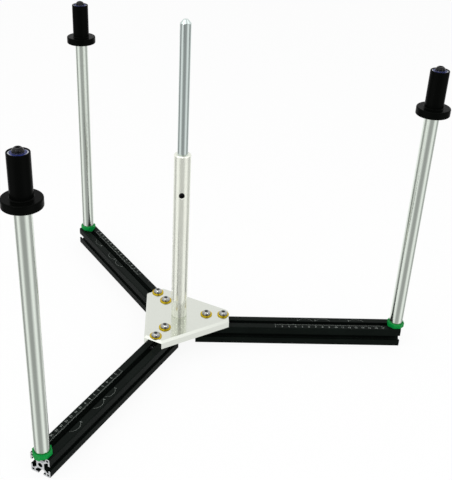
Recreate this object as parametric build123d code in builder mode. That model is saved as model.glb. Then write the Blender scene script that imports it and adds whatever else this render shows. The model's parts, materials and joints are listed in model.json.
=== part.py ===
import os
from math import cos, radians, sin, sqrt

from build123d import *

os.makedirs("parts", exist_ok=True)

# Layout: three arms at equal angles round the vertical axis of the hub rod, standing on Z = 0.
arm_names = ("right", "back", "front")
arm_count = len(arm_names)
arm_angles = {name: index * 360 / arm_count for index, name in enumerate(arm_names)}
cut_overrun = 2.0

# Clearances: what runs or turns, what is pressed or glued, and what slides on flat faces.
running_gap = 0.05
pressed_gap = 0.02
sliding_gap = 0.15

# Arms: square aluminium section with a slot along each side and a bore through its core.
# Each post stands right out, its axis this far short of the arm's end.
arm_width = 30.0
arm_inner_radius = 26.0
arm_length = 316.0
post_end_inset = 5.8
arm_corner_radius = 1.5
slots_per_arm = 4
slot_width = 8.0
slot_lip = 2.4
slot_cavity_side = 2.2
slot_cavity_share = 0.55
slot_floor_inset = 1.7
arm_core_width = 12.0
arm_core_bore = 6.8
corner_cavity = 3.2
corner_cavity_inset = 3.4

# Base plate: a triangle whose cut corners are as wide as the arms that it clamps.
plate_thickness = 12.7
plate_reach = 76.5
plate_edge_chamfer = 3.2
screw_edge_distance = 8.5
screw_spacing = 26.0

# Screws: button heads with a hexagon socket, their washers and their slot nuts.
screw_diameter = 8.0
screw_hole = 8.6
screw_tip_chamfer = 0.8
head_diameter = 13.6
head_height = 4.4
head_rim = 0.7
head_crown_diameter = 7.6
hex_key = 5.0
hex_depth = 2.6
plate_screw_length = 20.0
washer_diameter = 18.0
washer_thickness = 1.6
washer_edge = 0.3
nut_length = 20.0
nut_taper_share = 5 / 11
nut_side_gap = 0.4

# Centre post: a bored bar on the plate, bolted from below, with a grub screw for the rod.
centre_post_diameter = 24.0
centre_post_height = 268.0
centre_post_chamfer = 1.4
centre_post_foot_chamfer = 0.6
centre_post_floor = 20.0
rod_bore_chamfer = 0.5
centre_bolt_length = 25.0
centre_bolt_head_diameter = 13.0
centre_bolt_head_height = 8.0
centre_bolt_key = 6.0
centre_bolt_key_depth = 4.5
centre_bolt_edge = 0.6
centre_bolt_thread_spare = 2.0
grub_drop = 59.6
grub_diameter = 8.0
grub_length = 5.5
grub_key = 4.0
grub_key_depth = 2.6
grub_mouth_chamfer = 1.0

# Hub rod: a steel bar with a tapered nose, its shoulder on the rim of the centre post.
rod_diameter = 15.0
rod_exposed = 187.0
rod_spigot_diameter = 12.0
rod_spigot_length = 144.5
rod_nose_height = 5.0
rod_nose_diameter = 5.8
rod_nose_round = 1.2
rod_tail_chamfer = 1.0

# Foot of each post: a moulded block with a key that fits the arm's slot.
foot_length = 23.5
foot_width = 23.5
foot_height = 7.0
foot_corner_chamfer = 6.4
foot_edge = 0.5
foot_recess_depth = 3.2
foot_recess_gap = 0.3
foot_key_depth = 2.4
foot_nut_length = 16.0

# Tube of each post, with a threaded plug at each end and a stud into the slot nut.
tube_diameter = 20.0
tube_wall = 2.0
tube_length = 342.0
tube_edge = 0.4
plug_length = 22.0
stud_rise = 18.0

# Ball bearings: two to a roller, sealed on both faces.
bearing_bore = 8.0
bearing_outer = 22.0
bearing_width = 7.0
bearing_inner_shoulder = 12.0
bearing_outer_shoulder = 18.8
bearing_pitch = 15.2
ball_diameter = 3.97
ball_count = 7
seal_thickness = 0.6
seal_inset = 0.2
seal_lip_gap = 0.3

# Rim roller: a flange that carries the rim and a peg that it runs against.
flange_diameter = 46.0
flange_thickness = 10.6
flange_round = 1.5
flange_gap = 0.5
peg_diameter = 25.5
peg_height = 51.1
peg_round = 0.8
peg_foot_round = 1.5
peg_lip = 0.8
roller_bore = 18.0
lower_bearing_inset = 2.5

# Axle of each roller: one long screw through both bearings into the tube's upper plug.
axle_screw_length = 80.0
axle_washer_diameter = 12.0
axle_washer_thickness = 1.4
spacer_diameter = 11.0

# Sizes, places and heights that follow from the sizes above. A nut fills a share of its slot's taper.
slot_depth = (arm_width - arm_core_width) / 2
slot_cavity_width = arm_width * slot_cavity_share
slot_floor_width = arm_core_width - 2 * slot_floor_inset
slot_taper = slot_depth - slot_lip - slot_cavity_side
nut_thickness = slot_cavity_side + slot_taper * nut_taper_share
post_radius = arm_inner_radius + arm_length - post_end_inset
outer_screw_radius = plate_reach - screw_edge_distance
screw_radii = (outer_screw_radius - screw_spacing, outer_screw_radius)
plate_top = arm_width + plate_thickness
washer_top = plate_top + washer_thickness
centre_post_top = plate_top + centre_post_height
rod_bore_floor = plate_top + centre_post_floor + centre_bolt_thread_spare
rod_top = centre_post_top + rod_exposed
rod_bottom = centre_post_top - rod_spigot_length
grub_height = centre_post_top - grub_drop
lip_underside = arm_width - slot_lip
foot_top = arm_width + foot_height
tube_bottom = foot_top - foot_recess_depth + sliding_gap
tube_top = tube_bottom + tube_length
flange_bottom = tube_top + flange_gap
flange_top = flange_bottom + flange_thickness
peg_top = flange_top + peg_height
lower_bearing_bottom = flange_bottom + lower_bearing_inset
upper_bearing_bottom = peg_top - peg_lip - bearing_width
bearing_bottoms = (lower_bearing_bottom, upper_bearing_bottom)
axle_washer_bottom = upper_bearing_bottom + bearing_width
axle_head_seat = axle_washer_bottom + axle_washer_thickness
rod_bore_radius = rod_spigot_diameter / 2 + running_gap
inner_race_wall = (bearing_inner_shoulder - bearing_bore) / 2
outer_race_wall = (bearing_outer - bearing_outer_shoulder) / 2
inner_race_radius = (bearing_bore + inner_race_wall) / 2
outer_race_radius = (bearing_outer - outer_race_wall) / 2
plug_radius = tube_diameter / 2 - tube_wall - pressed_gap


def arm_section_plane(angle, radius):
    """Upright plane across the arm at this radius, facing outward along the arm."""
    outward = (cos(radians(angle)), sin(radians(angle)), 0)
    across = (-sin(radians(angle)), cos(radians(angle)), 0)
    return Plane(origin=(radius * outward[0], radius * outward[1], arm_width / 2), x_dir=across, z_dir=outward)


def arm_top_plane(angle, radius, height):
    """Level plane at this radius and height, its X along the arm."""
    outward = (cos(radians(angle)), sin(radians(angle)), 0)
    return Plane(origin=(radius * outward[0], radius * outward[1], height), x_dir=outward, z_dir=(0, 0, 1))


def post_side_plane(angle):
    """Upright plane through a post's axis, its X pointing outward and its Y up."""
    outward = (cos(radians(angle)), sin(radians(angle)), 0)
    sideways = (sin(radians(angle)), -cos(radians(angle)), 0)
    return Plane(origin=(post_radius * outward[0], post_radius * outward[1], 0), x_dir=outward, z_dir=sideways)


def post_axis(angle):
    """The vertical axis of a post."""
    return Axis((post_radius * cos(radians(angle)), post_radius * sin(radians(angle)), 0), (0, 0, 1))


def button_screw_outline(seat, length):
    """Half outline of a button-head screw whose head sits at height seat, with length below it."""
    shank = screw_diameter / 2
    rim = head_diameter / 2
    crown = head_crown_diameter / 2
    top = seat + head_height
    dome_centre = (crown**2 + head_height**2 - rim**2 - head_rim**2) / (2 * (head_height - head_rim))
    dome_radius = sqrt(rim**2 + (head_rim - dome_centre) ** 2)
    with BuildLine() as outline:
        Polyline(
            (0, top),
            (0, seat - length),
            (shank - screw_tip_chamfer, seat - length),
            (shank, seat - length + screw_tip_chamfer),
            (shank, seat),
            (rim, seat),
            (rim, seat + head_rim),
        )
        RadiusArc((rim, seat + head_rim), (crown, top), -dome_radius)
        Line((crown, top), (0, top))
    return outline.line


def slot_nut_section(clearance):
    """Section of a slot nut that hangs this far below the slot's lips, in the arm's own section plane."""
    top = arm_width / 2 - slot_lip - clearance
    shoulder = arm_width / 2 - slot_lip - slot_cavity_side
    bottom = top - nut_thickness
    half_top = slot_cavity_width / 2 - nut_side_gap
    slope = (slot_cavity_width - slot_floor_width) / 2 / slot_taper
    half_bottom = half_top - (shoulder - bottom) * slope
    points = [
        (-half_top, top),
        (half_top, top),
        (half_top, shoulder),
        (half_bottom, bottom),
        (-half_bottom, bottom),
        (-half_top, shoulder),
    ]
    return Polygon(*points, align=None, mode=Mode.PRIVATE)


# Arms
slot_outline = [
    (-slot_width / 2, arm_width / 2 + cut_overrun),
    (slot_width / 2, arm_width / 2 + cut_overrun),
    (slot_width / 2, arm_width / 2 - slot_lip),
    (slot_cavity_width / 2, arm_width / 2 - slot_lip),
    (slot_cavity_width / 2, arm_width / 2 - slot_lip - slot_cavity_side),
    (slot_floor_width / 2, arm_width / 2 - slot_depth),
    (-slot_floor_width / 2, arm_width / 2 - slot_depth),
    (-slot_cavity_width / 2, arm_width / 2 - slot_lip - slot_cavity_side),
    (-slot_cavity_width / 2, arm_width / 2 - slot_lip),
    (-slot_width / 2, arm_width / 2 - slot_lip),
]
corner_cavity_spacing = arm_width - 2 * corner_cavity_inset

for name, angle in arm_angles.items():
    with BuildPart() as arm:
        with BuildSketch(arm_section_plane(angle, arm_inner_radius)):
            RectangleRounded(arm_width, arm_width, arm_corner_radius)
            with PolarLocations(0, slots_per_arm):
                Polygon(*slot_outline, align=None, mode=Mode.SUBTRACT)
            with GridLocations(corner_cavity_spacing, corner_cavity_spacing, 2, 2):
                Rectangle(corner_cavity, corner_cavity, mode=Mode.SUBTRACT)
            Circle(arm_core_bore / 2, mode=Mode.SUBTRACT)
        extrude(amount=arm_length)
    arm.part.label = f"arm_{name}"
    export_step(arm.part, f"parts/arm_{name}.step")

# Base plate
plate_corners = [
    (arm_top_plane(angle, plate_reach, 0) * Pos(0, side * arm_width / 2)).position
    for angle in arm_angles.values()
    for side in (-1, 1)
]

with BuildPart() as base_plate:
    with BuildSketch(Plane.XY.offset(arm_width)):
        Polygon(*[(corner.X, corner.Y) for corner in plate_corners], align=None)
    extrude(amount=plate_thickness)
    top_face = base_plate.faces().sort_by(Axis.Z)[-1]
    chamfer(top_face.outer_wire().edges(), plate_edge_chamfer)
    with BuildSketch(Plane.XY.offset(arm_width)):
        Circle(screw_hole / 2)
        for radius in screw_radii:
            with PolarLocations(radius, arm_count):
                Circle(screw_hole / 2)
    extrude(amount=plate_thickness, mode=Mode.SUBTRACT)
base_plate.part.label = "base_plate"
export_step(base_plate.part, "parts/base_plate.step")

# Plate screws, with the washers under their heads and the nuts in the arms' top slots
with BuildPart() as plate_screws:
    for angle in arm_angles.values():
        for radius in screw_radii:
            foot_of_screw = arm_top_plane(angle, radius, 0).origin
            upright = Plane(origin=foot_of_screw, x_dir=(1, 0, 0), z_dir=(0, -1, 0))
            with BuildSketch(upright):
                add(button_screw_outline(washer_top, plate_screw_length))
                make_face()
            revolve(axis=Axis(foot_of_screw, (0, 0, 1)))
    with BuildSketch(Plane.XY.offset(washer_top + head_height)):
        for radius in screw_radii:
            with PolarLocations(radius, arm_count):
                RegularPolygon(hex_key / 2, 6, major_radius=False)
    extrude(amount=-hex_depth, mode=Mode.SUBTRACT)
plate_screws.part.label = "plate_screws"
export_step(plate_screws.part, "parts/plate_screws.step")

with BuildPart() as plate_washers:
    with BuildSketch(Plane.XY.offset(plate_top)):
        for radius in screw_radii:
            with PolarLocations(radius, arm_count):
                Circle(washer_diameter / 2)
        for radius in screw_radii:
            with PolarLocations(radius, arm_count):
                Circle(screw_hole / 2, mode=Mode.SUBTRACT)
    extrude(amount=washer_thickness)
    rims = plate_washers.edges().filter_by(GeomType.CIRCLE).group_by(Edge.radius)[-1]
    chamfer(rims, washer_edge)
plate_washers.part.label = "plate_washers"
export_step(plate_washers.part, "parts/plate_washers.step")

with BuildPart() as plate_slot_nuts:
    for angle in arm_angles.values():
        for radius in screw_radii:
            with BuildSketch(arm_section_plane(angle, radius - nut_length / 2)):
                add(slot_nut_section(0))
            extrude(amount=nut_length)
    with BuildSketch(Plane.XY.offset(lip_underside)):
        for radius in screw_radii:
            with PolarLocations(radius, arm_count):
                Circle(screw_diameter / 2 + pressed_gap)
    extrude(amount=-nut_thickness, mode=Mode.SUBTRACT)
plate_slot_nuts.part.label = "plate_slot_nuts"
export_step(plate_slot_nuts.part, "parts/plate_slot_nuts.step")

# Centre post and the bolt that holds it to the plate
with BuildPart() as centre_post:
    with BuildSketch(Plane.XY.offset(plate_top)):
        Circle(centre_post_diameter / 2)
    extrude(amount=centre_post_height)
    chamfer(centre_post.edges().sort_by(Axis.Z)[-1], centre_post_chamfer)
    chamfer(centre_post.edges().sort_by(Axis.Z)[0], centre_post_foot_chamfer)
    with BuildSketch(Plane.XY.offset(centre_post_top)):
        Circle(rod_bore_radius)
    extrude(amount=rod_bore_floor - centre_post_top, mode=Mode.SUBTRACT)
    mouth = centre_post.faces().sort_by(Axis.Z)[-1].inner_wires()[0]
    chamfer(mouth.edges(), rod_bore_chamfer)
    with BuildSketch(Plane.XY.offset(plate_top)):
        Circle(screw_diameter / 2 + pressed_gap)
    extrude(amount=centre_post_floor, mode=Mode.SUBTRACT)
    with BuildSketch(Plane.XZ.offset(centre_post_diameter / 2 + cut_overrun)):
        with Locations((0, grub_height)):
            Circle(grub_diameter / 2)
    extrude(amount=-centre_post_diameter / 2 - cut_overrun, mode=Mode.SUBTRACT)
    with BuildSketch(Plane.YZ):
        with BuildLine():
            Polyline(
                (-centre_post_diameter / 2 + grub_mouth_chamfer, grub_height),
                (-centre_post_diameter / 2 + grub_mouth_chamfer, grub_height + grub_diameter / 2),
                (
                    -centre_post_diameter / 2 - cut_overrun,
                    grub_height + grub_diameter / 2 + grub_mouth_chamfer + cut_overrun,
                ),
                (-centre_post_diameter / 2 - cut_overrun, grub_height),
                close=True,
            )
        make_face()
    revolve(axis=Axis((0, 0, grub_height), (0, 1, 0)), mode=Mode.SUBTRACT)
centre_post.part.label = "centre_post"
export_step(centre_post.part, "parts/centre_post.step")

with BuildPart() as centre_post_bolt:
    with BuildSketch(Plane.XY.offset(arm_width)):
        Circle(centre_bolt_head_diameter / 2)
    extrude(amount=-centre_bolt_head_height)
    chamfer(centre_post_bolt.edges().sort_by(Axis.Z)[0], centre_bolt_edge)
    with BuildSketch(Plane.XY.offset(arm_width)):
        Circle(screw_diameter / 2)
    extrude(amount=centre_bolt_length)
    chamfer(centre_post_bolt.edges().sort_by(Axis.Z)[-1], screw_tip_chamfer)
    with BuildSketch(Plane.XY.offset(arm_width - centre_bolt_head_height)):
        RegularPolygon(centre_bolt_key / 2, 6, major_radius=False)
    extrude(amount=centre_bolt_key_depth, mode=Mode.SUBTRACT)
centre_post_bolt.part.label = "centre_post_bolt"
export_step(centre_post_bolt.part, "parts/centre_post_bolt.step")

# Grub screw in the side of the centre post, its flat end against the rod
grub_tip = rod_bore_radius
with BuildPart() as rod_grub_screw:
    with BuildSketch(Plane.XZ.offset(grub_tip)):
        with Locations((0, grub_height)):
            Circle(grub_diameter / 2 - running_gap)
    extrude(amount=grub_length)
    with BuildSketch(Plane.XZ.offset(grub_tip + grub_length)):
        with Locations((0, grub_height)):
            RegularPolygon(grub_key / 2, 6, major_radius=False)
    extrude(amount=-grub_key_depth, mode=Mode.SUBTRACT)
rod_grub_screw.part.label = "rod_grub_screw"
export_step(rod_grub_screw.part, "parts/rod_grub_screw.step")

# Hub rod
with BuildPart() as hub_rod:
    with BuildSketch(Plane.XZ):
        with BuildLine():
            Polyline(
                (0, rod_bottom),
                (rod_spigot_diameter / 2 - rod_tail_chamfer, rod_bottom),
                (rod_spigot_diameter / 2, rod_bottom + rod_tail_chamfer),
                (rod_spigot_diameter / 2, centre_post_top),
                (rod_diameter / 2, centre_post_top),
                (rod_diameter / 2, rod_top - rod_nose_height),
                (rod_nose_diameter / 2, rod_top),
                (0, rod_top),
                close=True,
            )
        make_face()
    revolve(axis=Axis.Z)
    nose_edges = hub_rod.edges().filter_by(GeomType.CIRCLE).sort_by(Axis.Z)[-2:]
    fillet(nose_edges, rod_nose_round)
hub_rod.part.label = "hub_rod"
export_step(hub_rod.part, "parts/hub_rod.step")

# Posts: the foot, nut and stud slide along the arm, the tube turns on the stud, the roller on its axle
for name, angle in arm_angles.items():
    foot_plane = arm_top_plane(angle, post_radius, arm_width)

    with BuildPart() as foot:
        with BuildSketch(foot_plane) as foot_outline:
            Rectangle(foot_length, foot_width)
            chamfer(foot_outline.vertices(), foot_corner_chamfer)
        extrude(amount=foot_height)
        chamfer(foot.faces().sort_by(Axis.Z)[-1].outer_wire().edges(), foot_edge)
        with BuildSketch(foot_plane.offset(foot_height)):
            Circle(tube_diameter / 2 + foot_recess_gap)
        extrude(amount=-foot_recess_depth, mode=Mode.SUBTRACT)
        with BuildSketch(foot_plane):
            Rectangle(foot_length, slot_width - 2 * sliding_gap)
        extrude(amount=-foot_key_depth + sliding_gap)
        with BuildSketch(foot_plane.offset(-foot_key_depth)):
            Circle(screw_diameter / 2 + pressed_gap)
        extrude(amount=foot_key_depth + foot_height, mode=Mode.SUBTRACT)
    foot.part.label = f"foot_{name}"
    export_step(foot.part, f"parts/foot_{name}.step")

    with BuildPart() as slot_nut:
        with BuildSketch(arm_section_plane(angle, post_radius - foot_nut_length / 2)):
            add(slot_nut_section(sliding_gap))
        extrude(amount=foot_nut_length)
        with BuildSketch(foot_plane.offset(-slot_lip - sliding_gap)):
            Circle(screw_diameter / 2 + pressed_gap)
        extrude(amount=-nut_thickness, mode=Mode.SUBTRACT)
    slot_nut.part.label = f"slot_nut_{name}"
    export_step(slot_nut.part, f"parts/slot_nut_{name}.step")

    with BuildPart() as stud:
        with BuildSketch(foot_plane.offset(-slot_lip - nut_thickness)):
            Circle(screw_diameter / 2)
        extrude(amount=slot_lip + nut_thickness + foot_height - foot_recess_depth + stud_rise)
        chamfer(stud.edges().filter_by(GeomType.CIRCLE), screw_tip_chamfer)
    stud.part.label = f"stud_{name}"
    export_step(stud.part, f"parts/stud_{name}.step")

    with BuildPart() as tube:
        with BuildSketch(arm_top_plane(angle, post_radius, tube_bottom)):
            Circle(tube_diameter / 2)
            Circle(tube_diameter / 2 - tube_wall, mode=Mode.SUBTRACT)
        extrude(amount=tube_length)
        outer_rims = tube.edges().filter_by(GeomType.CIRCLE).group_by(Edge.radius)[-1]
        chamfer(outer_rims, tube_edge)
    tube.part.label = f"tube_{name}"
    export_step(tube.part, f"parts/tube_{name}.step")

    with BuildPart() as lower_plug:
        with BuildSketch(arm_top_plane(angle, post_radius, tube_bottom)):
            Circle(plug_radius)
            Circle(screw_diameter / 2 + running_gap, mode=Mode.SUBTRACT)
        extrude(amount=plug_length)
    lower_plug.part.label = f"lower_plug_{name}"
    export_step(lower_plug.part, f"parts/lower_plug_{name}.step")

    with BuildPart() as upper_plug:
        with BuildSketch(arm_top_plane(angle, post_radius, tube_top)):
            Circle(plug_radius)
            Circle(screw_diameter / 2 + pressed_gap, mode=Mode.SUBTRACT)
        extrude(amount=-plug_length)
    upper_plug.part.label = f"upper_plug_{name}"
    export_step(upper_plug.part, f"parts/upper_plug_{name}.step")

    with BuildPart() as axle_screw:
        with BuildSketch(post_side_plane(angle)):
            add(button_screw_outline(axle_head_seat, axle_screw_length))
            make_face()
        revolve(axis=post_axis(angle))
        with BuildSketch(arm_top_plane(angle, post_radius, axle_head_seat + head_height)):
            RegularPolygon(hex_key / 2, 6, major_radius=False)
        extrude(amount=-hex_depth, mode=Mode.SUBTRACT)
    axle_screw.part.label = f"axle_screw_{name}"
    export_step(axle_screw.part, f"parts/axle_screw_{name}.step")

    axle_washer_levels = {
        tube_top: lower_bearing_bottom - tube_top,
        axle_washer_bottom: axle_washer_thickness,
    }
    with BuildPart() as axle_washers:
        for level, thickness in axle_washer_levels.items():
            with BuildSketch(arm_top_plane(angle, post_radius, level)):
                Circle(axle_washer_diameter / 2)
                Circle(screw_diameter / 2 + pressed_gap, mode=Mode.SUBTRACT)
            extrude(amount=thickness)
    axle_washers.part.label = f"axle_washers_{name}"
    export_step(axle_washers.part, f"parts/axle_washers_{name}.step")

    with BuildPart() as axle_spacer:
        with BuildSketch(arm_top_plane(angle, post_radius, lower_bearing_bottom + bearing_width)):
            Circle(spacer_diameter / 2)
            Circle(screw_diameter / 2 + pressed_gap, mode=Mode.SUBTRACT)
        extrude(amount=upper_bearing_bottom - lower_bearing_bottom - bearing_width)
    axle_spacer.part.label = f"axle_spacer_{name}"
    export_step(axle_spacer.part, f"parts/axle_spacer_{name}.step")

    # Each race is a ring with a round groove that holds the balls with a running gap.
    with BuildPart() as inner_races:
        for level in bearing_bottoms:
            with BuildSketch(post_side_plane(angle)):
                with Locations((inner_race_radius, level + bearing_width / 2)):
                    Rectangle(inner_race_wall - pressed_gap, bearing_width)
                with Locations((bearing_pitch / 2, level + bearing_width / 2)):
                    Circle(ball_diameter / 2 + running_gap, mode=Mode.SUBTRACT)
            revolve(axis=post_axis(angle))
    inner_races.part.label = f"inner_races_{name}"
    export_step(inner_races.part, f"parts/inner_races_{name}.step")

    with BuildPart() as outer_races:
        for level in bearing_bottoms:
            with BuildSketch(post_side_plane(angle)):
                with Locations((outer_race_radius, level + bearing_width / 2)):
                    Rectangle(outer_race_wall - pressed_gap, bearing_width)
                with Locations((bearing_pitch / 2, level + bearing_width / 2)):
                    Circle(ball_diameter / 2 + running_gap, mode=Mode.SUBTRACT)
            revolve(axis=post_axis(angle))
    outer_races.part.label = f"outer_races_{name}"
    export_step(outer_races.part, f"parts/outer_races_{name}.step")

    with BuildPart(arm_top_plane(angle, post_radius, 0)) as bearing_balls:
        for level in bearing_bottoms:
            with Locations((0, 0, level + bearing_width / 2)):
                with PolarLocations(bearing_pitch / 2, ball_count):
                    Sphere(ball_diameter / 2)
    bearing_balls.part.label = f"bearing_balls_{name}"
    export_step(bearing_balls.part, f"parts/bearing_balls_{name}.step")

    with BuildPart() as bearing_seals:
        for level in bearing_bottoms:
            for seal_bottom in (level + seal_inset, level + bearing_width - seal_inset - seal_thickness):
                with BuildSketch(arm_top_plane(angle, post_radius, seal_bottom)):
                    Circle(bearing_outer_shoulder / 2)
                    Circle(bearing_inner_shoulder / 2 + seal_lip_gap, mode=Mode.SUBTRACT)
                extrude(amount=seal_thickness)
    bearing_seals.part.label = f"bearing_seals_{name}"
    export_step(bearing_seals.part, f"parts/bearing_seals_{name}.step")

    with BuildPart() as roller:
        with BuildSketch(arm_top_plane(angle, post_radius, flange_bottom)):
            Circle(flange_diameter / 2)
        extrude(amount=flange_thickness)
        with BuildSketch(arm_top_plane(angle, post_radius, flange_top)):
            Circle(peg_diameter / 2)
        extrude(amount=peg_height)
        fillet(roller.edges().filter_by(GeomType.CIRCLE).group_by(Edge.radius)[-1], flange_round)
        peg_rims = roller.edges().filter_by(GeomType.CIRCLE).filter_by(
            lambda edge: abs(edge.radius - peg_diameter / 2) < pressed_gap
        )
        fillet(peg_rims.sort_by(Axis.Z)[-1], peg_round)
        fillet(peg_rims.sort_by(Axis.Z)[0], peg_foot_round)
        with BuildSketch(arm_top_plane(angle, post_radius, flange_bottom - cut_overrun)):
            Circle(roller_bore / 2)
        extrude(amount=flange_thickness + peg_height + 2 * cut_overrun, mode=Mode.SUBTRACT)
        with BuildSketch(arm_top_plane(angle, post_radius, flange_bottom)):
            Circle(bearing_outer / 2 + pressed_gap)
        extrude(amount=lower_bearing_inset + bearing_width, mode=Mode.SUBTRACT)
        with BuildSketch(arm_top_plane(angle, post_radius, peg_top)):
            Circle(bearing_outer / 2 + pressed_gap)
        extrude(amount=-peg_lip - bearing_width, mode=Mode.SUBTRACT)
    roller.part.label = f"roller_{name}"
    export_step(roller.part, f"parts/roller_{name}.step")
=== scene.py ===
import json
from math import atan2, pi, radians

import bmesh
import bpy
from mathutils import Matrix, Vector


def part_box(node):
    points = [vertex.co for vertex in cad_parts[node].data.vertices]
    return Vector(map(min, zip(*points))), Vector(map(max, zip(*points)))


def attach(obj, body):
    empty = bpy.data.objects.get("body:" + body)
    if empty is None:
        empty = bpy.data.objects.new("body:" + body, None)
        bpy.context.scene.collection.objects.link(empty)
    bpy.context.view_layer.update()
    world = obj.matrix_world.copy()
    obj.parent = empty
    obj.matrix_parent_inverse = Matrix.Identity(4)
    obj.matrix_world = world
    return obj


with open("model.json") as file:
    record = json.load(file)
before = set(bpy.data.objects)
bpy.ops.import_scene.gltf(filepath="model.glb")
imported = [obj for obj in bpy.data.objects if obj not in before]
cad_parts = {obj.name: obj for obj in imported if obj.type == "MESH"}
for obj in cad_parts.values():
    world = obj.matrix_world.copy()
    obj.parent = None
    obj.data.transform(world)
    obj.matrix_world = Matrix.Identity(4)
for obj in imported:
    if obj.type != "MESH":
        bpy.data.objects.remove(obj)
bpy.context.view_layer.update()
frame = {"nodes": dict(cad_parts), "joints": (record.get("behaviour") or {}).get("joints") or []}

# Arms: three lengths of square slotted aluminium section, extruded, dyed black in the anodising bath
# and sawn to length afterwards, so the cut ends are bare metal. They lie on the bench, at equal angles.
arm_directions = {
    joint["name"].removeprefix("post_slide_"): Vector(joint["axis"])
    for joint in frame["joints"]
    if joint["name"].startswith("post_slide_")
}
arm_angles = {name: atan2(direction.y, direction.x) for name, direction in arm_directions.items()}
arm_low, arm_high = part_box("arm_right")
arm_top = arm_high.z
anodised_black = "#080C0A"
anodised_grey = "#101713"
sawn_aluminium = "#D5D7D8"
die_line_width = 0.0005
die_line_length = 0.120
dye_cloud_size = 0.030
skin_smooth = 0.36
skin_rough = 0.52
saw_line_width = 0.0004
saw_line_length = 0.020
sawn_smooth = 0.28
sawn_rough = 0.50
line_depth = 0.0001
cut_skin = 0.00005


def linear(hex_colour):
    """An sRGB hex colour as the linear red, green, blue and alpha that a socket takes."""
    channels = [int(hex_colour[place : place + 2], 16) / 255 for place in (1, 3, 5)]
    return [c / 12.92 if c <= 0.04045 else ((c + 0.055) / 1.055) ** 2.4 for c in channels] + [1.0]


def add_node(material, kind, sockets={}, **settings):
    """Adds a node with its settings. A socket takes a plain value, or the output that is linked to it."""
    node = material.node_tree.nodes.new("ShaderNode" + kind)
    for name, value in settings.items():
        setattr(node, name, value)
    for name, value in sockets.items():
        if isinstance(value, bpy.types.NodeSocket):
            material.node_tree.links.new(value, node.inputs[name])
        else:
            node.inputs[name].default_value = value
    return node


def new_material(name, sockets):
    """A material of one Principled shader, with these sockets set or linked."""
    material = bpy.data.materials.new(name)
    material.use_nodes = True
    set_shader(material, sockets)
    return material


def set_shader(material, sockets):
    """Sets the sockets of a material's Principled shader to plain values, or links them to outputs."""
    shader = material.node_tree.nodes["Principled BSDF"]
    for name, value in sockets.items():
        if isinstance(value, bpy.types.NodeSocket):
            material.node_tree.links.new(value, shader.inputs[name])
        else:
            shader.inputs[name].default_value = value


def paint(material, *names):
    """Gives a finish to these nodes of the frame."""
    for name in names:
        for slot in frame["nodes"][name].material_slots:
            slot.material = material


for name, angle in arm_angles.items():
    # Black anodised aluminium, as extruded: a dull sheen with faint die lines along the section. The real
    # lines are finer, and these are as coarse as they need to be to show.
    anodised = new_material(f"black_anodised_{name}", {"IOR": 1.5, "Specular IOR Level": 0.04})
    place = add_node(anodised, "TexCoord").outputs["Object"]
    along = add_node(anodised, "Mapping", {"Vector": place, "Rotation": (0, 0, -angle)}).outputs[0]
    stretched = add_node(
        anodised, "Mapping", {"Vector": along, "Scale": (die_line_width / die_line_length, 1, 1)}
    ).outputs[0]
    die_lines = add_node(
        anodised, "TexNoise", {"Vector": stretched, "Scale": 1 / die_line_width}
    ).outputs[0]
    clouds = add_node(anodised, "TexNoise", {"Vector": along, "Scale": 1 / dye_cloud_size}).outputs[0]

    # A Mix node takes its two colours at sockets 6 and 7, or its two plain values at 2 and 3.
    dye = add_node(
        anodised,
        "Mix",
        {0: clouds, 6: linear(anodised_black), 7: linear(anodised_grey)},
        data_type="RGBA",
    ).outputs[2]
    skin_roughness = add_node(
        anodised, "MapRange", {"Value": die_lines, "To Min": skin_smooth, "To Max": skin_rough}
    ).outputs[0]

    # The sawn faces are the skin at either end: bright metal with fine lines from the blade.
    distance_along = add_node(anodised, "SeparateXYZ", {0: along}).outputs[0]
    from_middle = add_node(
        anodised, "Math", {0: distance_along, 1: (arm_low.x + arm_high.x) / 2}, operation="SUBTRACT"
    ).outputs[0]
    reach = add_node(anodised, "Math", {0: from_middle}, operation="ABSOLUTE").outputs[0]
    sawn = add_node(
        anodised,
        "Math",
        {0: reach, 1: (arm_high.x - arm_low.x) / 2 - cut_skin},
        operation="GREATER_THAN",
    ).outputs[0]
    across_blade = add_node(
        anodised, "Mapping", {"Vector": along, "Scale": (1, saw_line_width / saw_line_length, 1)}
    ).outputs[0]
    saw_lines = add_node(
        anodised, "TexNoise", {"Vector": across_blade, "Scale": 1 / saw_line_width}
    ).outputs[0]
    sawn_roughness = add_node(
        anodised, "MapRange", {"Value": saw_lines, "To Min": sawn_smooth, "To Max": sawn_rough}
    ).outputs[0]
    colour = add_node(
        anodised, "Mix", {0: sawn, 6: dye, 7: linear(sawn_aluminium)}, data_type="RGBA"
    ).outputs[2]
    roughness = add_node(
        anodised, "Mix", {0: sawn, 2: skin_roughness, 3: sawn_roughness}
    ).outputs[0]
    lines = add_node(anodised, "Mix", {0: sawn, 2: die_lines, 3: saw_lines}).outputs[0]
    relief = add_node(
        anodised, "Bump", {"Height": lines, "Strength": 0.15, "Distance": line_depth}
    ).outputs[0]
    set_shader(
        anodised, {"Base Color": colour, "Metallic": sawn, "Roughness": roughness, "Normal": relief}
    )
    paint(anodised, f"arm_{name}")

# Scale: marks that a laser has burnt into the black skin of the lips beside each top slot. One lip has
# fine marks with a numbered mark at every tenth, and the other has three arcs, each with its own number.
mark_spacing = 0.01037
first_mark = 0.1489
numbered_marks = 17
fine_per_mark = 10
mark_width = 0.00022
mark_relief = 0.00002
weld_distance = 0.000002
fine_mark_edge = 0.0047
fine_mark_length = 0.0014
numbered_mark_length = 0.0026
numeral_size = 0.0048
numeral_offset = 0.0106
arc_starts = (0.1847, 0.2121, 0.2645)
arc_chord = 0.0230
arc_offset = 0.0052
arc_height = 0.0062
arc_steps = 20
arc_numeral_share = 0.8
arc_numeral_offset = 0.0072
laser_speckle_size = 0.0005

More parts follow.
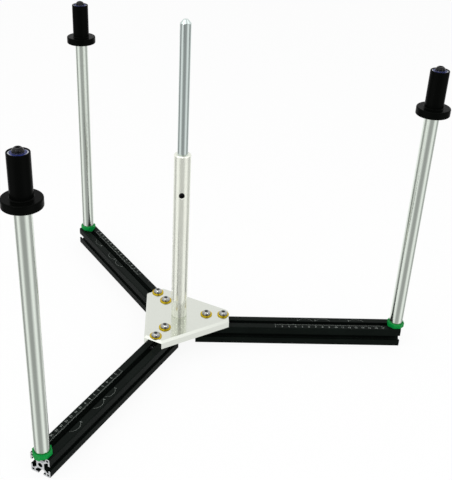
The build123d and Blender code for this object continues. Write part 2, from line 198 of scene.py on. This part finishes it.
# Laser marked aluminium, where the dye is burnt out of the skin: a pale, dry speckle on the black. It is
# drawn coarser than the real one, to show.
laser_mark = new_material("laser_marked_aluminium", {"Metallic": 0.2, "Roughness": 0.6})
place = add_node(laser_mark, "TexCoord").outputs["Object"]
speckle = add_node(
    laser_mark, "TexNoise", {"Vector": place, "Scale": 1 / laser_speckle_size}
).outputs[0]
burnt = add_node(
    laser_mark,
    "Mix",
    {0: speckle, 6: linear("#6B736D"), 7: linear("#B4BBB5")},
    data_type="RGBA",
).outputs[2]
set_shader(laser_mark, {"Base Color": burnt})


def add_mark(scale, length_along, length_across, centre):
    """A straight mark on the arm that lies along X, its centre at this place along, across and up."""
    stretch = Matrix.Diagonal((length_along, length_across, mark_relief, 1))
    bmesh.ops.create_cube(scale, size=1, matrix=Matrix.Translation(centre) @ stretch)


def add_number(scale, number, size, centre):
    """A plain number, read with the arm lying to the right."""
    curve = bpy.data.curves.new("number", type="FONT")
    curve.body = str(number)
    curve.size = size
    curve.extrude = mark_relief / 2
    curve.align_x = "CENTER"
    curve.align_y = "CENTER"
    text = bpy.data.objects.new("number", curve)
    mesh = bpy.data.meshes.new_from_object(text)
    mesh.transform(Matrix.Translation(centre))
    scale.from_mesh(mesh)
    bpy.data.objects.remove(text)
    bpy.data.curves.remove(curve)
    bpy.data.meshes.remove(mesh)


scale = bmesh.new()
mark_height = arm_top + mark_relief / 2
for step in range((numbered_marks - 1) * fine_per_mark + 1):
    numbered, remainder = divmod(step, fine_per_mark)
    along = first_mark + step * mark_spacing / fine_per_mark
    length = numbered_mark_length if remainder == 0 else fine_mark_length
    add_mark(scale, mark_width, length, (along, -fine_mark_edge - length / 2, mark_height))
    if remainder == 0:
        add_number(scale, numbered + 1, numeral_size, (along, -numeral_offset, mark_height))

for number, start in enumerate(arc_starts, 1):
    half_chord = arc_chord / 2
    arc_radius = (half_chord**2 + arc_height**2) / (2 * arc_height)
    half_angle = atan2(half_chord, arc_radius - arc_height)
    arc_centre = Vector((start + half_chord, arc_offset + arc_height - arc_radius, mark_height))
    first_end = Matrix.Rotation(half_angle, 4, "Z") @ Matrix.Translation((0, arc_radius, 0))
    cross_section = bmesh.ops.create_grid(
        scale,
        x_segments=1,
        y_segments=1,
        size=0.5,
        matrix=Matrix.Translation(arc_centre)
        @ first_end
        @ Matrix.Rotation(pi / 2, 4, "Y")
        @ Matrix.Diagonal((mark_relief, mark_width, 1, 1)),
    )
    corners = cross_section["verts"]
    edges = {edge for corner in corners for edge in corner.link_edges}
    faces = {face for corner in corners for face in corner.link_faces}
    bmesh.ops.spin(
        scale,
        geom=[*corners, *edges, *faces],
        cent=arc_centre,
        axis=(0, 0, 1),
        angle=-2 * half_angle,
        steps=arc_steps,
        use_merge=False,
    )
    add_number(
        scale, number, numeral_size * arc_numeral_share, (start, arc_numeral_offset, mark_height)
    )
bmesh.ops.remove_doubles(scale, verts=scale.verts, dist=weld_distance)
bmesh.ops.recalc_face_normals(scale, faces=scale.faces)

for name, angle in arm_angles.items():
    mesh = bpy.data.meshes.new(f"scale_{name}")
    scale.to_mesh(mesh)
    mesh.transform(Matrix.Rotation(angle, 4, "Z"))
    mesh.materials.append(laser_mark)
    marks = bpy.data.objects.new(f"scale_{name}", mesh)
    bpy.context.scene.collection.objects.link(marks)
    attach(marks, "base")
scale.free()

# Base plate: thick aluminium plate, milled to a triangle with cut corners and a broad bright chamfer,
# then lightly brushed. It clamps the three arms from above.
plate_aluminium = "#E1E4DC"
plate_aluminium_dull = "#D4D7CF"
brush_line_width = 0.0003
brush_line_length = 0.012
brush_line_depth = 0.0001
handling_size = 0.025
plate_smooth = 0.11
plate_rough = 0.19

# Brushed aluminium: it mirrors the centre post softly, and handling has dulled it in patches. The brush
# lines are drawn coarser than the real ones, to show.
brushed_plate = new_material("brushed_aluminium_plate", {"Metallic": 1.0})
place = add_node(brushed_plate, "TexCoord").outputs["Object"]
stretched = add_node(
    brushed_plate, "Mapping", {"Vector": place, "Scale": (brush_line_width / brush_line_length, 1, 1)}
).outputs[0]
brushing = add_node(
    brushed_plate, "TexNoise", {"Vector": stretched, "Scale": 1 / brush_line_width}
).outputs[0]
handling = add_node(brushed_plate, "TexNoise", {"Vector": place, "Scale": 1 / handling_size}).outputs[0]
tone = add_node(
    brushed_plate,
    "Mix",
    {0: brushing, 6: linear(plate_aluminium_dull), 7: linear(plate_aluminium)},
    data_type="RGBA",
).outputs[2]
roughness = add_node(
    brushed_plate, "MapRange", {"Value": handling, "To Min": plate_smooth, "To Max": plate_rough}
).outputs[0]
relief = add_node(
    brushed_plate, "Bump", {"Height": brushing, "Strength": 0.08, "Distance": brush_line_depth}
).outputs[0]
set_shader(brushed_plate, {"Base Color": tone, "Roughness": roughness, "Normal": relief})
paint(brushed_plate, "base_plate")

# Plate screws: six button-head steel screws with hexagon sockets, bright zinc plated. Each goes through
# a yellow passivated washer and the plate into a zinc plated nut in the arm's top slot.
bright_haze_size = 0.0012
yellow_bloom_size = 0.0040
dull_haze_size = 0.0015


def add_grain(material, place, size, dark, light, smooth, rough):
    """Gives a material two tones and a span of roughness, which follow one noise of this grain size."""
    grain = add_node(material, "TexNoise", {"Vector": place, "Scale": 1 / size}).outputs[0]
    tones = {0: grain, 6: linear(dark), 7: linear(light)}
    tone = add_node(material, "Mix", tones, data_type="RGBA").outputs[2]
    roughness = add_node(
        material, "MapRange", {"Value": grain, "To Min": smooth, "To Max": rough}
    ).outputs[0]
    set_shader(material, {"Base Color": tone, "Roughness": roughness})
    return grain


def on_each_post(*pieces):
    """The names of these pieces on all three posts."""
    return [f"{piece}_{name}" for piece in pieces for name in arm_angles]


# Bright zinc on steel: a cool grey shine that shows the round of the domes, under a faint haze. The haze
# is drawn coarser than the real one, to show, on the dull zinc too.
bright_zinc = new_material("bright_zinc_plate", {"Metallic": 1.0})
place = add_node(bright_zinc, "TexCoord").outputs["Object"]
add_grain(
    bright_zinc, place, bright_haze_size, dark="#8D8E8D", light="#B9BAB8", smooth=0.06, rough=0.14
)
paint(bright_zinc, "plate_screws")

# Yellow passivated zinc: a brassy ring under each grey head, with a blotched bloom.
yellow_zinc = new_material("yellow_passivated_zinc", {"Metallic": 1.0})
place = add_node(yellow_zinc, "TexCoord").outputs["Object"]
add_grain(
    yellow_zinc, place, yellow_bloom_size, dark="#A2860A", light="#E2C62C", smooth=0.10, rough=0.20
)
paint(yellow_zinc, "plate_washers")

# Dull zinc, as barrel plated: flat and grey.
dull_zinc = new_material("dull_zinc_plate", {"Metallic": 1.0})
place = add_node(dull_zinc, "TexCoord").outputs["Object"]
add_grain(
    dull_zinc, place, dull_haze_size, dark="#9B9EA0", light="#B9BCBE", smooth=0.28, rough=0.45
)
paint(dull_zinc, "plate_slot_nuts", "centre_post_bolt")
paint(dull_zinc, *on_each_post("slot_nut", "stud", "axle_washers"))

# Centre post: an aluminium bar, bored for the hub rod, turned and polished. A bolt from below holds it
# to the plate, and a black grub screw in its side holds the rod.
polish_ring_width = 0.0003
polish_ring_length = 0.015
oxide_mottle_size = 0.0020

# Polished aluminium under a thin clear film: pale, part mirror and part milky, with rings from the
# turning that are drawn coarser than the real ones, to show.
polished_aluminium = new_material("polished_aluminium", {"Metallic": 0.6})
ring_stretch = polish_ring_width / polish_ring_length
place = add_node(polished_aluminium, "TexCoord").outputs["Object"]
round_post = add_node(
    polished_aluminium, "Mapping", {"Vector": place, "Scale": (ring_stretch, ring_stretch, 1)}
).outputs[0]
add_grain(
    polished_aluminium,
    round_post,
    polish_ring_width,
    dark="#E9ECE0",
    light="#F2F4E9",
    smooth=0.10,
    rough=0.18,
)
paint(polished_aluminium, "centre_post")

# Black oxide on steel: an oily black with small sharp lights.
black_oxide = new_material("black_oxide_steel", {"Metallic": 0.3, "Specular IOR Level": 0.3})
place = add_node(black_oxide, "TexCoord").outputs["Object"]
add_grain(
    black_oxide, place, oxide_mottle_size, dark="#060607", light="#0D0D0F", smooth=0.16, rough=0.28
)
paint(black_oxide, "rod_grub_screw", *on_each_post("axle_screw"))

# Hub rod: a drawn bright steel bar with a turned nose, for the hub. It stands in the centre post's bore,
# where the grub screw holds it.
draw_line_width = 0.0005
draw_line_length = 0.050

# Bright drawn steel: a cool mirror with faint lines along the bar, coarser than the real ones, to show.
drawn_steel = new_material("bright_drawn_steel", {"Metallic": 1.0})
place = add_node(drawn_steel, "TexCoord").outputs["Object"]
along_rod = add_node(
    drawn_steel, "Mapping", {"Vector": place, "Scale": (1, 1, draw_line_width / draw_line_length)}
).outputs[0]
add_grain(
    drawn_steel, along_rod, draw_line_width, dark="#C4CFCC", light="#D8E2DF", smooth=0.10, rough=0.20
)
paint(drawn_steel, "hub_rod")

# Feet: blocks moulded in green plastic, one under each tube. Their keys slide in the arms' top slots and
# keep the posts in line with them.
mould_grain_size = 0.0006
mould_grain_depth = 0.0001
moulded_smooth = 0.35
moulded_rough = 0.50
flow_mark_size = 0.012

# Moulded plastic: an even green with only a weak shine, and a fine grain that is drawn coarser than the
# real one, to show.
green_plastic = new_material("green_moulded_plastic", {"IOR": 1.53, "Specular IOR Level": 0.12})
place = add_node(green_plastic, "TexCoord").outputs["Object"]
grain = add_node(green_plastic, "TexNoise", {"Vector": place, "Scale": 1 / mould_grain_size}).outputs[0]
flow = add_node(green_plastic, "TexNoise", {"Vector": place, "Scale": 1 / flow_mark_size}).outputs[0]
tone = add_node(
    green_plastic, "Mix", {0: flow, 6: linear("#007E33"), 7: linear("#009A42")}, data_type="RGBA"
).outputs[2]
roughness = add_node(
    green_plastic, "MapRange", {"Value": grain, "To Min": moulded_smooth, "To Max": moulded_rough}
).outputs[0]
relief = add_node(
    green_plastic, "Bump", {"Height": grain, "Strength": 0.2, "Distance": mould_grain_depth}
).outputs[0]
set_shader(green_plastic, {"Base Color": tone, "Roughness": roughness, "Normal": relief})
paint(green_plastic, *on_each_post("foot"))

# Tubes: satin anodised aluminium tube. Each has a turned aluminium plug pressed into either end, one for
# the stud below it and one for the screw that holds its roller.
tube_line_width = 0.0006
tube_line_length = 0.075
turned_ring_width = 0.0004
turned_ring_length = 0.020

# Satin anodised tube: a soft mirror, with lines along the tube that are drawn coarser than the real ones,
# to show.
satin_tube = new_material("satin_anodised_tube", {"Metallic": 1.0})
place = add_node(satin_tube, "TexCoord").outputs["Object"]
along_tube = add_node(
    satin_tube, "Mapping", {"Vector": place, "Scale": (1, 1, tube_line_width / tube_line_length)}
).outputs[0]
add_grain(
    satin_tube, along_tube, tube_line_width, dark="#D8E0D7", light="#E9F0E7", smooth=0.16, rough=0.26
)
paint(satin_tube, *on_each_post("tube"))

# Turned aluminium: a duller shine with rings from the tool, coarser than the real ones, to show.
turned_aluminium = new_material("turned_aluminium", {"Metallic": 1.0})
ring_stretch = turned_ring_width / turned_ring_length
place = add_node(turned_aluminium, "TexCoord").outputs["Object"]
round_plug = add_node(
    turned_aluminium, "Mapping", {"Vector": place, "Scale": (ring_stretch, ring_stretch, 1)}
).outputs[0]
add_grain(
    turned_aluminium,
    round_plug,
    turned_ring_width,
    dark="#C4C6C8",
    light="#DADCDD",
    smooth=0.22,
    rough=0.38,
)
paint(turned_aluminium, *on_each_post("lower_plug", "upper_plug", "axle_spacer"))

# Rollers: turned from black acetal rod, a flange with a peg, each on two sealed ball bearings that a
# domed screw holds to the post.
tool_ring_width = 0.0004
tool_ring_depth = 0.0001
ground_grit_size = 0.0003
rubber_grain_size = 0.0005

# Turned acetal: a deep, waxy black with rings from the tool round each roller's own axis. They are
# coarser than the real ones, to show.
for name in arm_angles:
    low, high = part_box(f"roller_{name}")
    axis = (low + high) / 2
    acetal = new_material(f"turned_acetal_{name}", {"IOR": 1.48, "Specular IOR Level": 0.02})
    place = add_node(acetal, "TexCoord").outputs["Object"]
    centred = add_node(
        acetal, "Mapping", {"Vector": place, "Location": (-axis.x, -axis.y, 0)}
    ).outputs[0]
    in_plan = add_node(acetal, "Mapping", {"Vector": centred, "Scale": (1, 1, 0)}).outputs[0]
    radius = add_node(acetal, "VectorMath", {0: in_plan}, operation="LENGTH").outputs["Value"]
    height = add_node(acetal, "SeparateXYZ", {0: centred}).outputs[2]
    tool_path = add_node(acetal, "CombineXYZ", {0: radius, 1: height}).outputs[0]
    rings = add_grain(
        acetal, tool_path, tool_ring_width, dark="#040504", light="#090A09", smooth=0.20, rough=0.30
    )
    relief = add_node(
        acetal, "Bump", {"Height": rings, "Strength": 0.15, "Distance": tool_ring_depth}
    ).outputs[0]
    set_shader(acetal, {"Normal": relief})
    paint(acetal, f"roller_{name}")

# Ground bearing steel: fine and bright. The faint blue in its tones is a painted reflection of the blue
# seals beside it. Its grit is drawn coarser than the real one, to show.
ground_steel = new_material("ground_bearing_steel", {"Metallic": 1.0})
place = add_node(ground_steel, "TexCoord").outputs["Object"]
add_grain(
    ground_steel, place, ground_grit_size, dark="#A9AFB8", light="#C3C8CF", smooth=0.15, rough=0.28
)
paint(ground_steel, *on_each_post("inner_races", "outer_races", "bearing_balls"))

# Moulded nitrile rubber: dark blue and dull.
blue_rubber = new_material("blue_nitrile_rubber", {"IOR": 1.52})
place = add_node(blue_rubber, "TexCoord").outputs["Object"]
add_grain(
    blue_rubber, place, rubber_grain_size, dark="#0A1B5E", light="#11287A", smooth=0.35, rough=0.55
)
paint(blue_rubber, *on_each_post("bearing_seals"))

# Floor: a wide sheet of matt white paper under the stand. To the eye it is as white as the room, and it
# still takes the stand's soft shadow. Metal mirrors the room past it.
floor_size = 12.0
floor_drop = 0.0001
floor_glow_share = 0.9
paper_tooth_size = 0.0020
paper_tooth_depth = 0.0001

# Matt white paper with a faint tooth. Most of its white is its own glow, so shadows on it stay faint.
paper = new_material("white_paper", {"Base Color": linear("#FFFFFF"), "Roughness": 0.9})
place = add_node(paper, "TexCoord").outputs["Object"]
tooth = add_node(paper, "TexNoise", {"Vector": place, "Scale": 1 / paper_tooth_size}).outputs[0]
relief = add_node(
    paper, "Bump", {"Height": tooth, "Strength": 0.05, "Distance": paper_tooth_depth}
).outputs[0]
set_shader(paper, {"Normal": relief})
seen = add_node(paper, "LightPath").outputs["Is Camera Ray"]
share = add_node(paper, "Math", {0: seen, 1: floor_glow_share}, operation="MULTIPLY").outputs[0]
white = add_node(paper, "Emission", {"Color": linear("#FFFFFF"), "Strength": 1.0}).outputs[0]
paper_shader = paper.node_tree.nodes["Principled BSDF"].outputs[0]
surface = add_node(paper, "MixShader", {0: share, 1: paper_shader, 2: white}).outputs[0]
paper.node_tree.links.new(surface, paper.node_tree.nodes["Material Output"].inputs["Surface"])

floor_mesh = bpy.data.meshes.new("floor")
sheet = bmesh.new()
bmesh.ops.create_grid(sheet, x_segments=1, y_segments=1, size=floor_size / 2)
sheet.to_mesh(floor_mesh)
sheet.free()
floor_mesh.transform(Matrix.Translation((0, 0, -floor_drop)))
floor_mesh.materials.append(paper)
floor = bpy.data.objects.new("floor", floor_mesh)
floor.visible_glossy = False
bpy.context.scene.collection.objects.link(floor)

# Room: a white tent lit from outside, with two broad soft lamps and two small ones that put sparks on the
# glossy blacks. Only a mirrored ray sees its dim parts, the near wall and three low walls, which bright
# bar and tube show as darker bands. They stay put, whatever moves.
tent_level = 0.66
near_wall_dimness = 0.8

# The near wall's edge and top are a unit direction's Y and Z, where the wall is still bright and where it
# is fully dim. The horizon's top and foot are such a Z too. Bearings and half widths are in degrees.
near_wall_edge = (0.25, -0.15)
near_wall_top = (0.75, 0.60)
horizon_top = 0.02
horizon_foot = -0.06
low_walls = (
    {"bearing": -93, "half_width": 54, "dimness": 0.60},
    {"bearing": 12, "half_width": 38, "dimness": 0.56},
    {"bearing": 166, "half_width": 32, "dimness": 0.64},
)
low_wall_core_share = 0.3

world = bpy.data.worlds.new("white_tent")
bpy.context.scene.world = world
world.use_nodes = True
ray = add_node(world, "LightPath").outputs
seen = add_node(
    world, "Math", {0: ray["Is Camera Ray"], 1: ray["Is Glossy Ray"]}, operation="ADD"
).outputs[0]
level = add_node(world, "MapRange", {"Value": seen, "To Min": tent_level, "To Max": 1.0}).outputs[0]
toward = add_node(world, "TexCoord").outputs["Generated"]
direction = add_node(world, "SeparateXYZ", {0: toward}).outputs
low_down = add_node(
    world,
    "MapRange",
    {"Value": direction["Z"], "From Min": horizon_top, "From Max": horizon_foot},
    interpolation_type="SMOOTHSTEP",
).outputs[0]
high_up = add_node(world, "Math", {0: 1.0, 1: low_down}, operation="SUBTRACT").outputs[0]


def dim_wall(level, dimness, *shares):
    """Takes this dimness from the room's level where every share is 1, for mirrored rays alone."""
    for share in (ray["Is Glossy Ray"], *shares):
        dimness = add_node(world, "Math", {0: dimness, 1: share}, operation="MULTIPLY").outputs[0]
    kept = add_node(world, "Math", {0: 1.0, 1: dimness}, operation="SUBTRACT").outputs[0]
    return add_node(world, "Math", {0: level, 1: kept}, operation="MULTIPLY").outputs[0]


near_shares = [
    add_node(
        world,
        "MapRange",
        {"Value": direction[axis_name], "From Min": bright_end, "From Max": dim_end},
        interpolation_type="SMOOTHSTEP",
    ).outputs[0]
    for axis_name, (bright_end, dim_end) in {"Y": near_wall_edge, "Z": near_wall_top}.items()
]
level = dim_wall(level, near_wall_dimness, high_up, *near_shares)

for wall in low_walls:
    turned = add_node(
        world, "Mapping", {"Vector": toward, "Rotation": (0, 0, radians(-wall["bearing"]))}
    ).outputs[0]
    flat = add_node(world, "SeparateXYZ", {0: turned}).outputs
    off_centre = add_node(world, "Math", {0: flat["Y"], 1: flat["X"]}, operation="ARCTAN2").outputs[0]
    aside = add_node(world, "Math", {0: off_centre}, operation="ABSOLUTE").outputs[0]
    share = add_node(
        world,
        "MapRange",
        {
            "Value": aside,
            "From Min": radians(wall["half_width"]),
            "From Max": radians(wall["half_width"] * low_wall_core_share),
        },
        interpolation_type="SMOOTHSTEP",
    ).outputs[0]
    level = dim_wall(level, wall["dimness"], low_down, share)

backdrop = world.node_tree.nodes["Background"]
backdrop.inputs["Color"].default_value = linear("#FFFFFF")
world.node_tree.links.new(level, backdrop.inputs["Strength"])

lamps = {
    "key_lamp": {"place": (-1.3, -0.9, 1.7), "size": 3.0, "power": 22.0},
    "fill_lamp": {"place": (1.6, -0.6, 1.3), "size": 2.4, "power": 9.0},
    "left_spark": {"place": (-0.9, -1.2, 1.5), "size": 0.08, "power": 1.2},
    "right_spark": {"place": (0.9, -1.2, 1.5), "size": 0.08, "power": 1.2},
}
stand_middle = Vector((0, 0, 0.2))
for name, lamp in lamps.items():
    light = bpy.data.lights.new(name, type="AREA")
    light.size = lamp["size"]
    light.energy = lamp["power"]
    holder = bpy.data.objects.new(name, light)
    holder.location = lamp["place"]
    holder.rotation_euler = (stand_middle - holder.location).to_track_quat("-Z", "Y").to_euler()
    bpy.context.scene.collection.objects.link(holder)

# Camera: above the bench in front of the stand, where the photograph was taken, with a slight tilt. The
# lens and its shift are for a picture of 452 by 480, whose longer side spans the sensor. Its heading, dip
# and tilt are in degrees.
picture_width, picture_height = 452, 480
sensor_width = 36.0
focal_pixels = 847.676
picture_centre = (190.0, 240.0)
lens_place = (-0.008139, -1.077385, 0.787565)
lens_heading = -1.15617
lens_dip = 29.6648
lens_tilt = 1.694

camera_data = bpy.data.cameras.new("camera")
camera_data.sensor_width = sensor_width
camera_data.lens = focal_pixels * sensor_width / picture_height
camera_data.shift_x = (picture_width / 2 - picture_centre[0]) / picture_height
camera_data.shift_y = (picture_centre[1] - picture_height / 2) / picture_height
camera = bpy.data.objects.new("camera", camera_data)
camera.matrix_world = (
    Matrix.Translation(lens_place)
    @ Matrix.Rotation(radians(lens_heading), 4, "Z")
    @ Matrix.Rotation(pi / 2 - radians(lens_dip), 4, "X")
    @ Matrix.Rotation(radians(lens_tilt), 4, "Z")
)
bpy.context.scene.collection.objects.link(camera)
bpy.context.scene.camera = camera

bpy.context.scene.view_settings.view_transform = "Standard"
